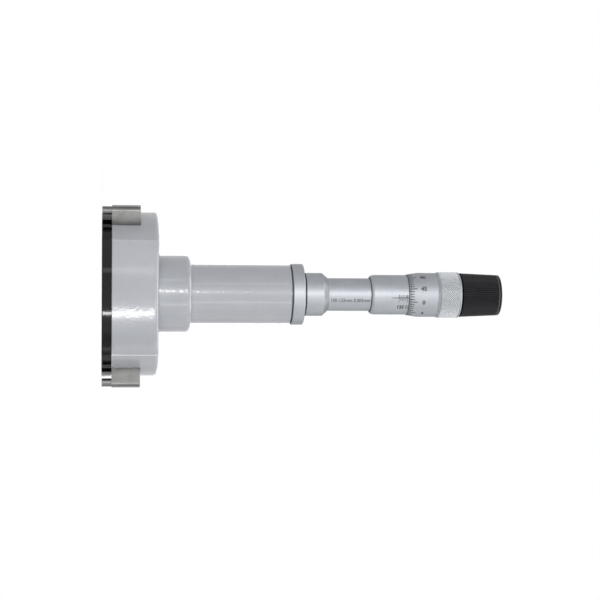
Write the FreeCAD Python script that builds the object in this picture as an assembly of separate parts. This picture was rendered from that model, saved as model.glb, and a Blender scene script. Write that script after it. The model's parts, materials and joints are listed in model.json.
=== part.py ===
import FreeCAD, Part
import math
import os

# Three-point inside micrometer for bores of 100 to 125 mm, in millimetres and degrees.
# Origin: centre of the front cover's outer face. +Z runs along the axis to the ratchet cap.
# The model stands on its front cover with the spindle part of the way forward.

# Measuring range and the state that is modelled
MIN_CONTACT_RADIUS = 50.0
RADIAL_TRAVEL = 12.5
SPINDLE_ADVANCE = 18.985
CONE_SLOPE = 0.5

# Clearances
SLIDE_CLEARANCE = 0.03
SEAT_CLEARANCE = 0.02
RUNNING_CLEARANCE = 0.05
SLEEVE_CLEARANCE = 0.04
WEDGE_CLEARANCE = 0.03

# How far a cutting solid reaches past the face it cuts
OVERCUT = 1.0

# Narrow flats that make up each quarter round, and straights in each turn of a spring
ROUND_STEPS = 3
COIL_STEPS = 10
MITRED = 1

# Front cover and the recess that takes the cone's tip
COVER_THICKNESS = 5.7
COVER_EDGE_CHAMFER = 0.4
RECESS_FLOOR = 1.7
RECESS_SIDE_GAP = 0.6
TIP_GAP = 0.5

# Head body
ANVIL_COUNT = 3
FIRST_ANVIL_ANGLE = 90.0
LOBE_SETBACK = 0.65
LOBE_HALF_ANGLE = 18.2
WAIST_WALL = 6.0
BACK_WALL = 3.2
BACK_EDGE_ROUND = 2.3
POCKET_END_GAP = 0.2
POCKET_SIDE_GAP = 0.87
HUB_WALL = 5.32
HUB_LENGTH = 19.4
HUB_END_ROUND = 2.7

# Anvil carriers, contact pins and their springs
PIN_RADIUS = 2.35
PIN_PROUD = 0.35
PIN_FRONT_GAP = 0.15
PIN_REAR_GAP = 0.4
PIN_SIDE_WALL = 0.65
NOTCH_GAP = 0.45
TIP_CHAMFER = 0.3
HEEL_HEIGHT = 7.3
HEEL_LENGTH = 7.0
NOSE_WIDTH = 2.4
WEDGE_LENGTH = 2.1
SPRING_RADIUS = 2.3
SPRING_WIRE = 0.7
SPRING_TURNS = 4
SPRING_SIDE_GAP = 0.2
SPRING_OUTER_WALL = 5.1

# Cover screws, with sunk round heads and hexagon sockets
SCREW_RADIUS = 2.0
SCREW_HEAD_RADIUS = 3.5
SCREW_HEAD_HEIGHT = 2.2
SCREW_LENGTH = 13.0
SCREW_SINK = 0.2
SCREW_SOCKET_WIDTH = 2.5
SCREW_SOCKET_DEPTH = 1.3
SCREW_SIDE_OFFSET = 6.2
SCREW_EDGE_DISTANCE = 10.5
SCREW_END_GAP = 1.0

# Measuring cone and push rod
CONE_TIP_RADIUS = 1.8
CONE_LAND = 1.5
CONE_BORE_GAP = 0.35
BOSS_RADIUS = 8.0
BOSS_LENGTH = 7.0
ROD_RADIUS = 5.0
ROD_SPIGOT_RADIUS = 3.5
ROD_SPIGOT_LENGTH = 12.0
ROD_SPIGOT_END_GAP = 0.5
ROD_BORE_GAP = 0.3
THRUST_PIN_RADIUS = 1.5
THRUST_PIN_LENGTH = 5.0
THRUST_PIN_PROUD = 2.1
FRONT_BUSH_LENGTH = 9.0
FRONT_BUSH_GAP = 8.0
REAR_BUSH_WALL = 2.0
REAR_BUSH_LENGTH = 12.0
REAR_BUSH_FLANGE = 1.5

# Extension tube and union ring
TUBE_WALL = 2.08
TUBE_SEAT_DEPTH = 14.1
TUBE_LENGTH = 59.4
RING_STEP = 0.5
RING_GROOVE_WIDTH = 0.8
RING_GROOVE_DEPTH = 1.9
RING_WIDTH = 7.1
RING_CHAMFER = 0.4
RING_SPIGOT_LENGTH = 9.0

# Stem body: collar, stem and inner barrel, turned in one piece
COLLAR_RADIUS = 12.94
COLLAR_LENGTH = 10.2
COLLAR_GROOVE_WIDTH = 1.6
COLLAR_GROOVE_DEPTH = 1.0
COLLAR_TAPER_LENGTH = 3.5
STEM_RADIUS = 9.86
STEM_LENGTH = 25.5
STEM_SPIGOT_RADIUS = 9.0
STEM_SPIGOT_LENGTH = 14.0
BARREL_THREAD_RADIUS = 8.0
BARREL_THREAD_LENGTH = 10.0
NUT_THREAD_LENGTH = 24.6
SLIT_WIDTH = 0.8
SLIT_LENGTH = 13.0

# Scale sleeve and adjusting nut
SLEEVE_WALL = 2.1
SLEEVE_NOSE_LENGTH = 3.0
SLEEVE_NOSE_RADIUS = 10.5
SCALE_LEAD = 16.3
ADJUSTING_NUT_LENGTH = 7.5
ADJUSTING_NUT_SETBACK = 1.0
ADJUSTING_NUT_GAP = 0.3

# Spindle
SPINDLE_FRONT_RADIUS = 3.4
SPINDLE_THREAD_RADIUS = 4.0
SPINDLE_FLANGE_RADIUS = 5.2
SPINDLE_FLANGE_WIDTH = 1.6
SPINDLE_SEAT_RADIUS = 3.5
SPINDLE_STUB_RADIUS = 3.0
SPINDLE_FRONT_LENGTH = 59.0
STOP_GAP = 0.3

# Thimble
THIMBLE_EDGE_WALL = 0.15
THIMBLE_TAPER_LENGTH = 6.7
THIMBLE_RADIUS = 13.35
THIMBLE_BAND_LENGTH = 11.4
KNURL_STEP_LENGTH = 1.9
KNURL_RADIUS = 13.92
KNURL_LENGTH = 12.4
KNURL_CHAMFER = 0.7
THIMBLE_WEB = 3.0
THIMBLE_RECESS = 1.4
THIMBLE_RECESS_RADIUS = 8.5
THIMBLE_NUT_WIDTH = 11.0
THIMBLE_NUT_HEIGHT = 3.2

# Ratchet stop and its cap
CAP_GAP = 0.6
CAP_LENGTH = 24.3
CAP_FRONT_RADIUS = 13.3
CAP_REAR_RADIUS = 12.25
CAP_END_ROUND = 0.5
CAP_END_WALL = 3.4
CAP_BORE_RADIUS = 10.2
CAP_HOLE_RADIUS = 5.2
FLUTE_COUNT = 60
FLUTE_DEPTH = 0.4
FLUTE_WIDTH = 0.9
FLUTE_END_MARGIN = 1.2
DRUM_FRONT_GAP = 0.3
WHEEL_RADIUS = 5.6
WHEEL_HEIGHT = 5.0
TOOTH_COUNT = 24
TOOTH_DEPTH = 0.6
WHEEL_SIDE_GAP = 0.4
WHEEL_END_GAP = 0.4
DRUM_END_GAP = 1.4
PAWL_RADIUS = 1.45
PAWL_LENGTH = 2.6
PAWL_TOOTH_GAP = 0.06
PAWL_SPRING_RADIUS = 1.2
PAWL_SPRING_WIRE = 0.35
PAWL_SPRING_TURNS = 3
END_SCREW_RADIUS = 1.5
END_SCREW_LENGTH = 7.5
END_SCREW_HEAD_RADIUS = 4.6
END_SCREW_HEAD_HEIGHT = 2.4
END_SCREW_SLOT_WIDTH = 1.0
END_SCREW_SLOT_DEPTH = 1.0
END_SCREW_GAP = 0.5

# Travel of the spindle, and what is still left of it forward
FEED_TRAVEL = RADIAL_TRAVEL / CONE_SLOPE
FEED_LEFT = FEED_TRAVEL - SPINDLE_ADVANCE

# Radii at which the slides work
CONTACT_RADIUS = MIN_CONTACT_RADIUS + SPINDLE_ADVANCE * CONE_SLOPE
LOBE_RADIUS = MIN_CONTACT_RADIUS - LOBE_SETBACK
CARRIER_TIP_RADIUS = CONTACT_RADIUS - PIN_PROUD
PIN_CENTRE_RADIUS = CONTACT_RADIUS - PIN_RADIUS
CARRIER_WIDTH = 2 * (PIN_RADIUS + PIN_SIDE_WALL)
NOSE_RADIUS = CONE_TIP_RADIUS + WEDGE_CLEARANCE + SPINDLE_ADVANCE * CONE_SLOPE
HEEL_OUTER_RADIUS = NOSE_RADIUS + HEEL_LENGTH
SLIDE_LEFT = FEED_LEFT * CONE_SLOPE
POCKET_RADIUS = HEEL_OUTER_RADIUS + SLIDE_LEFT + POCKET_SIDE_GAP
WAIST_RADIUS = POCKET_RADIUS + WAIST_WALL

# Heights in the head, counted from the cone's forward stop
CONE_TIP_Z = RECESS_FLOOR + TIP_GAP + FEED_LEFT
CONE_BACK_TIP_Z = RECESS_FLOOR + TIP_GAP + FEED_TRAVEL
HEEL_TOP_Z = CONE_BACK_TIP_Z + WEDGE_LENGTH
CARRIER_BACK_Z = HEEL_TOP_Z - HEEL_HEIGHT
CARRIER_FRONT_Z = COVER_THICKNESS + SLIDE_CLEARANCE
SLOT_END_Z = CARRIER_BACK_Z + SLIDE_CLEARANCE
POCKET_END_Z = HEEL_TOP_Z + POCKET_END_GAP
BODY_BACK_Z = POCKET_END_Z + BACK_WALL
HUB_END_Z = BODY_BACK_Z + HUB_LENGTH
SPRING_Z = CARRIER_BACK_Z + HEEL_HEIGHT / 2
CHANNEL_HALF_WIDTH = SPRING_RADIUS + SPRING_SIDE_GAP
CHANNEL_END_RADIUS = LOBE_RADIUS - SPRING_OUTER_WALL

# Cone, rod and tube
CONE_LENGTH = WEDGE_LENGTH + FEED_TRAVEL
CONE_BASE_RADIUS = CONE_TIP_RADIUS + CONE_LENGTH * CONE_SLOPE
CONE_BASE_Z = CONE_TIP_Z + CONE_LENGTH
BOSS_END_Z = CONE_BASE_Z + CONE_LAND + BOSS_LENGTH
TUBE_BORE_RADIUS = CONE_BASE_RADIUS + CONE_BORE_GAP
TUBE_RADIUS = TUBE_BORE_RADIUS + TUBE_WALL
TUBE_START_Z = HUB_END_Z - TUBE_SEAT_DEPTH
TUBE_END_Z = HUB_END_Z + TUBE_LENGTH
HUB_RADIUS = TUBE_RADIUS + HUB_WALL
FRONT_BUSH_Z = BOSS_END_Z + SPINDLE_ADVANCE + FRONT_BUSH_GAP

# Union ring and stem body
RING_RADIUS = TUBE_RADIUS + RING_STEP
RING_START_Z = TUBE_END_Z + RING_GROOVE_WIDTH
RING_END_Z = RING_START_Z + RING_WIDTH
COLLAR_START_Z = RING_END_Z + COLLAR_GROOVE_WIDTH
COLLAR_END_Z = COLLAR_START_Z + COLLAR_LENGTH
STEM_START_Z = COLLAR_END_Z + COLLAR_TAPER_LENGTH
STEM_END_Z = STEM_START_Z + STEM_LENGTH
SPIGOT_START_Z = RING_END_Z - STEM_SPIGOT_LENGTH
STEM_BORE_RADIUS = ROD_RADIUS + ROD_BORE_GAP
REAR_BUSH_RADIUS = ROD_RADIUS + REAR_BUSH_WALL
SLEEVE_BORE_RADIUS = STEM_RADIUS + SLEEVE_CLEARANCE
SLEEVE_RADIUS = SLEEVE_BORE_RADIUS + SLEEVE_WALL

# Thimble, spindle and ratchet heights
THIMBLE_EDGE_Z = STEM_END_Z + SCALE_LEAD + FEED_LEFT
THIMBLE_BAND_Z = THIMBLE_EDGE_Z + THIMBLE_TAPER_LENGTH
THIMBLE_STEP_Z = THIMBLE_BAND_Z + THIMBLE_BAND_LENGTH
KNURL_START_Z = THIMBLE_STEP_Z + KNURL_STEP_LENGTH
THIMBLE_END_Z = KNURL_START_Z + KNURL_LENGTH
WEB_BACK_Z = THIMBLE_END_Z - THIMBLE_RECESS
WEB_FRONT_Z = WEB_BACK_Z - THIMBLE_WEB
FLANGE_FRONT_Z = WEB_FRONT_Z - SPINDLE_FLANGE_WIDTH
BARREL_END_Z = FLANGE_FRONT_Z - FEED_LEFT - STOP_GAP
NUT_THREAD_Z = BARREL_END_Z - NUT_THREAD_LENGTH
SPINDLE_TIP_Z = FLANGE_FRONT_Z - SPINDLE_FRONT_LENGTH
SPINDLE_THREAD_Z = NUT_THREAD_Z - SPINDLE_ADVANCE
THIMBLE_BORE_RADIUS = SLEEVE_RADIUS + RUNNING_CLEARANCE
THIMBLE_NUT_END_Z = WEB_BACK_Z + THIMBLE_NUT_HEIGHT
DRUM_START_Z = THIMBLE_NUT_END_Z + DRUM_FRONT_GAP
WHEEL_END_Z = THIMBLE_NUT_END_Z + WHEEL_HEIGHT
CAVITY_END_Z = WHEEL_END_Z + WHEEL_END_GAP
CAP_START_Z = THIMBLE_END_Z + CAP_GAP
CAP_END_Z = CAP_START_Z + CAP_LENGTH
CAP_BORE_END_Z = CAP_END_Z - CAP_END_WALL
DRUM_END_Z = CAP_BORE_END_Z - DRUM_END_GAP
STUB_END_Z = DRUM_END_Z + RUNNING_CLEARANCE
WHEEL_MID_Z = (DRUM_START_Z + WHEEL_END_Z) / 2
CAVITY_RADIUS = WHEEL_RADIUS + WHEEL_SIDE_GAP
DRUM_RADIUS = CAP_BORE_RADIUS - SEAT_CLEARANCE
PAWL_BORE_RADIUS = PAWL_RADIUS + RUNNING_CLEARANCE
PAWL_TIP_RADIUS = WHEEL_RADIUS - TOOTH_DEPTH + PAWL_TOOTH_GAP
PAWL_BACK_RADIUS = PAWL_TIP_RADIUS + PAWL_LENGTH

ORIGIN = FreeCAD.Vector(0, 0, 0)
Z_AXIS = FreeCAD.Vector(0, 0, 1)
ANVIL_STEP = 360.0 / ANVIL_COUNT


def turned(profile):
    """Solid of revolution about Z whose section has these (radius, height) corners."""
    corners = [FreeCAD.Vector(r, 0, z) for r, z in profile]
    return Part.Face(Part.makePolygon(corners + corners[:1])).revolve(ORIGIN, Z_AXIS, 360)


def ring(outer_radius, inner_radius, low, high):
    """Plain ring about Z between two heights."""
    section = [(inner_radius, low), (outer_radius, low), (outer_radius, high), (inner_radius, high)]
    return turned(section)


def rod(radius, low, high):
    """Plain cylinder about Z between two heights."""
    return Part.makeCylinder(radius, high - low, FreeCAD.Vector(0, 0, low))


def block(x_low, x_high, half_width, z_low, z_high):
    """Box along X, centred on Y."""
    corner = FreeCAD.Vector(x_low, -half_width, z_low)
    return Part.makeBox(x_high - x_low, 2 * half_width, z_high - z_low, corner)


def turned_to(shape, angle):
    """Copy of a shape turned about Z."""
    copy = shape.copy()
    copy.rotate(ORIGIN, Z_AXIS, angle)
    return copy


def anvil_angles():
    return [FIRST_ANVIL_ANGLE + ANVIL_STEP * n for n in range(ANVIL_COUNT)]


def around_anvils(shape):
    """Copies of a shape, one in each anvil's direction."""
    return [turned_to(shape, angle) for angle in anvil_angles()]


def prism(points, low, high):
    """Straight prism along Z from a closed outline."""
    corners = [FreeCAD.Vector(x, y, low) for x, y in points]
    face = Part.Face(Part.makePolygon(corners + corners[:1]))
    return face.extrude(FreeCAD.Vector(0, 0, high - low))


def hexagon(width, low, high):
    """Hexagonal prism about Z, given its width across flats."""
    corner = width / 2 / math.cos(math.radians(30))
    turns = [math.radians(60 * n) for n in range(6)]
    return prism([(corner * math.cos(t), corner * math.sin(t)) for t in turns], low, high)


def polar(radius, angle, height=0.0):
    turn = math.radians(angle)
    return FreeCAD.Vector(radius * math.cos(turn), radius * math.sin(turn), height)


def quarter_round(outer_radius, end_height, width, height):
    """Corners of a rounding from a wall at this radius to an end face above it."""
    corners = []
    for step in range(ROUND_STEPS + 1):
        turn = math.radians(90 * step / ROUND_STEPS)
        corners.append((
            outer_radius - width * (1 - math.cos(turn)),
            end_height - height * (1 - math.sin(turn)),
        ))
    return corners


def waist_circle():
    """Distance from the axis, and radius, of the circle that hollows a waist between two lobes."""
    corner = LOBE_RADIUS * math.cos(math.radians(ANVIL_STEP / 2 - LOBE_HALF_ANGLE))
    distance = (LOBE_RADIUS ** 2 - WAIST_RADIUS ** 2) / (2 * (corner - WAIST_RADIUS))
    return distance, distance - WAIST_RADIUS


def lobed_plate(wall):
    """Disc hollowed at three waists. The wall's corners are (inset, height), from low to high."""
    low = wall[0][1]
    high = wall[-1][1]
    disc = turned([(0, low)] + [(LOBE_RADIUS - inset, z) for inset, z in wall] + [(0, high)])
    distance, radius = waist_circle()
    section = [(0, low - OVERCUT), (radius + wall[0][0], low - OVERCUT)]
    section += [(radius + inset, z) for inset, z in wall]
    section += [(radius + wall[-1][0], high + OVERCUT), (0, high + OVERCUT)]
    waist = turned(section)
    waist.translate(FreeCAD.Vector(distance, 0, 0))
    between = FIRST_ANVIL_ANGLE + ANVIL_STEP / 2
    return disc.cut([turned_to(waist, between + ANVIL_STEP * n) for n in range(ANVIL_COUNT)])


def screw_places():
    """Two cover screws beside each anvil's slot."""
    radius = LOBE_RADIUS - SCREW_EDGE_DISTANCE
    side = math.degrees(math.asin((CARRIER_WIDTH / 2 + SCREW_SIDE_OFFSET) / radius))
    return [polar(radius, angle + way * side) for angle in anvil_angles() for way in (-1, 1)]


def coil(radius, wire, turns, length):
    """Spring along Z from height zero to its length, its wire six-sided with mitred bends."""
    middle = radius - wire / 2
    steps = turns * COIL_STEPS
    rise = (length - wire) / steps
    path = [polar(middle, 360.0 * n / COIL_STEPS, wire / 2 + rise * n) for n in range(steps + 1)]
    outward = polar(wire / 2, 180.0 / COIL_STEPS)
    upward = Z_AXIS * (wire / 2)
    turning = [math.radians(60 * n) for n in range(6)]
    corners = [path[0] + outward * math.cos(t) + upward * math.sin(t) for t in turning]
    sweep = Part.BRepOffsetAPI.MakePipeShell(Part.makePolygon(path))
    sweep.setFrenetMode(False)
    sweep.setTransitionMode(MITRED)
    sweep.add(Part.makePolygon(corners + corners[:1]))
    sweep.build()
    sweep.makeSolid()
    return sweep.shape()


def laid_along_x(shape, start, height):
    """Shape built along Z, laid along +X from a start radius at a height."""
    shape.rotate(ORIGIN, FreeCAD.Vector(0, 1, 0), 90)
    shape.translate(FreeCAD.Vector(start, 0, height))
    return shape


def make_head_body():
    """Lobed head and hub, with slots for the slides, a pocket for their heels and a bore."""
    wall = [(0, COVER_THICKNESS)]
    wall += quarter_round(0, BODY_BACK_Z, -BACK_EDGE_ROUND, BACK_EDGE_ROUND)
    hub = [(0, POCKET_END_Z), (HUB_RADIUS, POCKET_END_Z)]
    hub += quarter_round(HUB_RADIUS, HUB_END_Z, HUB_END_ROUND, HUB_END_ROUND)
    hub.append((0, HUB_END_Z))
    body = lobed_plate(wall).fuse(turned(hub))
    cuts = [
        rod(POCKET_RADIUS, 0, POCKET_END_Z),
        rod(TUBE_BORE_RADIUS, 0, HUB_END_Z + OVERCUT),
        rod(TUBE_RADIUS + SEAT_CLEARANCE, TUBE_START_Z, HUB_END_Z + OVERCUT),
    ]
    slot_half = CARRIER_WIDTH / 2 + SLIDE_CLEARANCE
    cuts += around_anvils(block(0, LOBE_RADIUS + OVERCUT, slot_half, 0, SLOT_END_Z))
    channel_top = SPRING_Z + CHANNEL_HALF_WIDTH
    round_centre = CHANNEL_END_RADIUS - CHANNEL_HALF_WIDTH
    channel = block(0, round_centre, CHANNEL_HALF_WIDTH, SLOT_END_Z - OVERCUT, channel_top)
    channel_end = rod(CHANNEL_HALF_WIDTH, SLOT_END_Z - OVERCUT, channel_top)
    channel_end.translate(FreeCAD.Vector(round_centre, 0, 0))
    cuts += around_anvils(channel.fuse(channel_end))
    hole_end = SCREW_SINK + SCREW_LENGTH + SCREW_END_GAP
    for place in screw_places():
        hole = rod(SCREW_RADIUS + SEAT_CLEARANCE, 0, hole_end)
        hole.translate(place)
        cuts.append(hole)
    return body.cut(cuts)


def make_front_cover():
    """Cover plate with stepped screw holes, pin notches and the recess for the cone's tip."""
    cover = lobed_plate([(COVER_EDGE_CHAMFER, 0), (0, COVER_EDGE_CHAMFER), (0, COVER_THICKNESS)])
    recess_radius = CONE_TIP_RADIUS + (COVER_THICKNESS - RECESS_FLOOR) * CONE_SLOPE
    cuts = [rod(recess_radius + RECESS_SIDE_GAP, RECESS_FLOOR, COVER_THICKNESS + OVERCUT)]
    notch_half = PIN_RADIUS + NOTCH_GAP
    round_centre = MIN_CONTACT_RADIUS - PIN_RADIUS
    notch = block(round_centre, LOBE_RADIUS + OVERCUT, notch_half, -OVERCUT, COVER_THICKNESS + OVERCUT)
    notch_end = rod(notch_half, -OVERCUT, COVER_THICKNESS + OVERCUT)
    notch_end.translate(FreeCAD.Vector(round_centre, 0, 0))
    cuts += around_anvils(notch.fuse(notch_end))
    hole_radius = SCREW_RADIUS + SEAT_CLEARANCE
    head_radius = SCREW_HEAD_RADIUS + SEAT_CLEARANCE
    head_end = SCREW_SINK + SCREW_HEAD_HEIGHT
    section = [
        (0, -OVERCUT),
        (head_radius, -OVERCUT),
        (head_radius, head_end),
        (hole_radius, head_end),
        (hole_radius, COVER_THICKNESS + OVERCUT),
        (0, COVER_THICKNESS + OVERCUT),
    ]
    for place in screw_places():
        hole = turned(section)
        hole.translate(place)
        cuts.append(hole)
    return cover.cut(cuts)


def make_cover_screws():
    """Six round-headed screws with hexagon sockets."""
    head_end = SCREW_SINK + SCREW_HEAD_HEIGHT
    section = [
        (0, SCREW_SINK),
        (SCREW_HEAD_RADIUS, SCREW_SINK),
        (SCREW_HEAD_RADIUS, head_end),
        (SCREW_RADIUS, head_end),
        (SCREW_RADIUS, SCREW_SINK + SCREW_LENGTH),
        (0, SCREW_SINK + SCREW_LENGTH),
    ]
    socket = hexagon(SCREW_SOCKET_WIDTH, 0, SCREW_SINK + SCREW_SOCKET_DEPTH)
    screw = turned(section).cut(socket)
    screws = []
    for place in screw_places():
        copy = screw.copy()
        copy.translate(place)
        screws.append(copy)
    return Part.Compound(screws)


def make_anvil_carrier():
    """Slide along +X: a block with a pin groove at its tip and a wedge-faced heel at its root."""
    nose_top = NOSE_RADIUS + WEDGE_LENGTH * CONE_SLOPE
    corners = [
        FreeCAD.Vector(NOSE_RADIUS, 0, CARRIER_FRONT_Z),
        FreeCAD.Vector(CARRIER_TIP_RADIUS, 0, CARRIER_FRONT_Z),
        FreeCAD.Vector(CARRIER_TIP_RADIUS, 0, CARRIER_BACK_Z),
        FreeCAD.Vector(HEEL_OUTER_RADIUS, 0, CARRIER_BACK_Z),
        FreeCAD.Vector(HEEL_OUTER_RADIUS, 0, HEEL_TOP_Z),
        FreeCAD.Vector(nose_top, 0, HEEL_TOP_Z),
        FreeCAD.Vector(NOSE_RADIUS, 0, HEEL_TOP_Z - WEDGE_LENGTH),
    ]
    side = Part.Face(Part.makePolygon(corners + corners[:1]))
    side.translate(FreeCAD.Vector(0, -CARRIER_WIDTH / 2, 0))
    carrier = side.extrude(FreeCAD.Vector(0, CARRIER_WIDTH, 0))
    half = CARRIER_WIDTH / 2
    nose_half = NOSE_WIDTH / 2
    flank = (half - nose_half) / math.tan(math.radians(ANVIL_STEP / 2))
    outline = [
        (NOSE_RADIUS, -nose_half),
        (NOSE_RADIUS + flank, -half),
        (CARRIER_TIP_RADIUS - TIP_CHAMFER, -half),
        (CARRIER_TIP_RADIUS, TIP_CHAMFER - half),
        (CARRIER_TIP_RADIUS, half - TIP_CHAMFER),
        (CARRIER_TIP_RADIUS - TIP_CHAMFER, half),
        (NOSE_RADIUS + flank, half),
        (NOSE_RADIUS, nose_half),
    ]
    carrier = carrier.common(prism(outline, 0, HEEL_TOP_Z + OVERCUT))
    groove = rod(PIN_RADIUS + SEAT_CLEARANCE, 0, CARRIER_BACK_Z + OVERCUT)
    groove.translate(FreeCAD.Vector(PIN_CENTRE_RADIUS, 0, 0))
    return carrier.cut(groove)


def make_contact_pin():
    """Hard round pin along the tip of a slide."""
    pin = rod(PIN_RADIUS, PIN_FRONT_GAP, CARRIER_BACK_Z - PIN_REAR_GAP)
    pin.translate(FreeCAD.Vector(PIN_CENTRE_RADIUS, 0, 0))
    return pin


def make_anvil_spring():
    """Return spring between a slide's heel and the end of its channel."""
    sagitta = math.sqrt(CHANNEL_HALF_WIDTH ** 2 - SPRING_RADIUS ** 2)
    seat = CHANNEL_END_RADIUS - CHANNEL_HALF_WIDTH + sagitta - RUNNING_CLEARANCE
    start = HEEL_OUTER_RADIUS + RUNNING_CLEARANCE
    spring = coil(SPRING_RADIUS, SPRING_WIRE, SPRING_TURNS, seat - start)
    return laid_along_x(spring, start, SPRING_Z)


def make_measuring_cone():
    """Cone with a short land, and a boss with a threaded hole for the rod."""
    land_end = CONE_BASE_Z + CONE_LAND
    section = [
        (0, CONE_TIP_Z),
        (CONE_TIP_RADIUS, CONE_TIP_Z),
        (CONE_BASE_RADIUS, CONE_BASE_Z),
        (CONE_BASE_RADIUS, land_end),
        (BOSS_RADIUS, land_end),
        (BOSS_RADIUS, BOSS_END_Z),
        (0, BOSS_END_Z),
    ]
    hole_start = BOSS_END_Z - ROD_SPIGOT_LENGTH - ROD_SPIGOT_END_GAP
    return turned(section).cut(rod(ROD_SPIGOT_RADIUS + SEAT_CLEARANCE, hole_start, BOSS_END_Z + OVERCUT))


def make_push_rod():
    """Rod screwed into the cone, bored for the thrust pin at its rear end."""
    end = SPINDLE_TIP_Z - RUNNING_CLEARANCE - THRUST_PIN_PROUD
    section = [
        (0, BOSS_END_Z - ROD_SPIGOT_LENGTH),
        (ROD_SPIGOT_RADIUS, BOSS_END_Z - ROD_SPIGOT_LENGTH),
        (ROD_SPIGOT_RADIUS, BOSS_END_Z),
        (ROD_RADIUS, BOSS_END_Z),
        (ROD_RADIUS, end),
        (0, end),
    ]
    bore_end = end - THRUST_PIN_LENGTH + THRUST_PIN_PROUD
    return turned(section).cut(rod(THRUST_PIN_RADIUS + SEAT_CLEARANCE, bore_end, end + OVERCUT))


def make_thrust_pin():
    """Hard pin in the rod's rear end that the spindle pushes on."""
    end = SPINDLE_TIP_Z - RUNNING_CLEARANCE
    return rod(THRUST_PIN_RADIUS, end - THRUST_PIN_LENGTH, end)


def make_rod_bush_front():
    """Bush that fills the tube's bore and guides the rod behind the cone."""
    outer = TUBE_BORE_RADIUS - SEAT_CLEARANCE
    inner = ROD_RADIUS + RUNNING_CLEARANCE
    return ring(outer, inner, FRONT_BUSH_Z, FRONT_BUSH_Z + FRONT_BUSH_LENGTH)


def make_rod_bush_rear():
    """Flanged bush in the front of the stem body."""
    inner = ROD_RADIUS + RUNNING_CLEARANCE
    flange_radius = (REAR_BUSH_RADIUS + STEM_SPIGOT_RADIUS) / 2
    section = [
        (inner, SPIGOT_START_Z - REAR_BUSH_FLANGE),
        (flange_radius, SPIGOT_START_Z - REAR_BUSH_FLANGE),
        (flange_radius, SPIGOT_START_Z),
        (REAR_BUSH_RADIUS, SPIGOT_START_Z),
        (REAR_BUSH_RADIUS, SPIGOT_START_Z + REAR_BUSH_LENGTH),
        (inner, SPIGOT_START_Z + REAR_BUSH_LENGTH),
    ]
    return turned(section)


def make_extension_tube():
    return ring(TUBE_RADIUS, TUBE_BORE_RADIUS, TUBE_START_Z, TUBE_END_Z)


def make_union_ring():
    """Ring that screws into the tube and takes the stem body's spigot."""
    bore = STEM_SPIGOT_RADIUS + SEAT_CLEARANCE
    spigot = TUBE_BORE_RADIUS - SEAT_CLEARANCE
    neck = RING_RADIUS - RING_GROOVE_DEPTH
    section = [
        (bore, TUBE_END_Z - RING_SPIGOT_LENGTH),
        (spigot, TUBE_END_Z - RING_SPIGOT_LENGTH),
        (spigot, TUBE_END_Z),
        (neck, TUBE_END_Z),
        (neck, RING_START_Z),
        (RING_RADIUS - RING_CHAMFER, RING_START_Z),
        (RING_RADIUS, RING_START_Z + RING_CHAMFER),
        (RING_RADIUS, RING_END_Z - RING_CHAMFER),
        (RING_RADIUS - RING_CHAMFER, RING_END_Z),
        (bore, RING_END_Z),
    ]
    return turned(section)


def make_stem_body():
    """Spigot, collar, stem and slit barrel, bored for the rod and threaded for the spindle."""
    neck = COLLAR_RADIUS - COLLAR_GROOVE_DEPTH
    barrel_step = BARREL_END_Z - BARREL_THREAD_LENGTH
    outside = [
        (0, SPIGOT_START_Z),
        (STEM_SPIGOT_RADIUS, SPIGOT_START_Z),
        (STEM_SPIGOT_RADIUS, RING_END_Z),
        (neck, RING_END_Z),
        (neck, COLLAR_START_Z),
        (COLLAR_RADIUS, COLLAR_START_Z),
        (COLLAR_RADIUS, COLLAR_END_Z),
        (STEM_RADIUS, STEM_START_Z),
        (STEM_RADIUS, barrel_step),
        (BARREL_THREAD_RADIUS, barrel_step),
        (BARREL_THREAD_RADIUS, BARREL_END_Z),
        (0, BARREL_END_Z),
    ]
    bush_radius = REAR_BUSH_RADIUS + SEAT_CLEARANCE
    far = BARREL_END_Z + OVERCUT
    cuts = [
        rod(bush_radius, SPIGOT_START_Z - OVERCUT, SPIGOT_START_Z + REAR_BUSH_LENGTH),
        rod(STEM_BORE_RADIUS, SPIGOT_START_Z, NUT_THREAD_Z),
        rod(SPINDLE_THREAD_RADIUS + RUNNING_CLEARANCE, NUT_THREAD_Z - OVERCUT, far),
    ]
    slit = block(0, STEM_RADIUS + OVERCUT, SLIT_WIDTH / 2, BARREL_END_Z - SLIT_LENGTH, far)
    cuts += around_anvils(slit)
    return turned(outside).cut(cuts)


def make_adjusting_nut():
    """Nut on the slit end of the barrel."""
    high = BARREL_END_Z - ADJUSTING_NUT_SETBACK
    outer = SLEEVE_BORE_RADIUS - ADJUSTING_NUT_GAP
    inner = BARREL_THREAD_RADIUS + SEAT_CLEARANCE
    return ring(outer, inner, high - ADJUSTING_NUT_LENGTH, high)


def make_scale_sleeve():
    """Sleeve with a domed nose, turned on the stem to set the zero."""
    rise = SLEEVE_RADIUS - SLEEVE_NOSE_RADIUS
    section = quarter_round(SLEEVE_RADIUS, STEM_END_Z, rise, -SLEEVE_NOSE_LENGTH)
    section += [
        (SLEEVE_BORE_RADIUS, STEM_END_Z),
        (SLEEVE_BORE_RADIUS, BARREL_END_Z),
        (SLEEVE_RADIUS, BARREL_END_Z),
    ]
    return turned(section)


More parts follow.
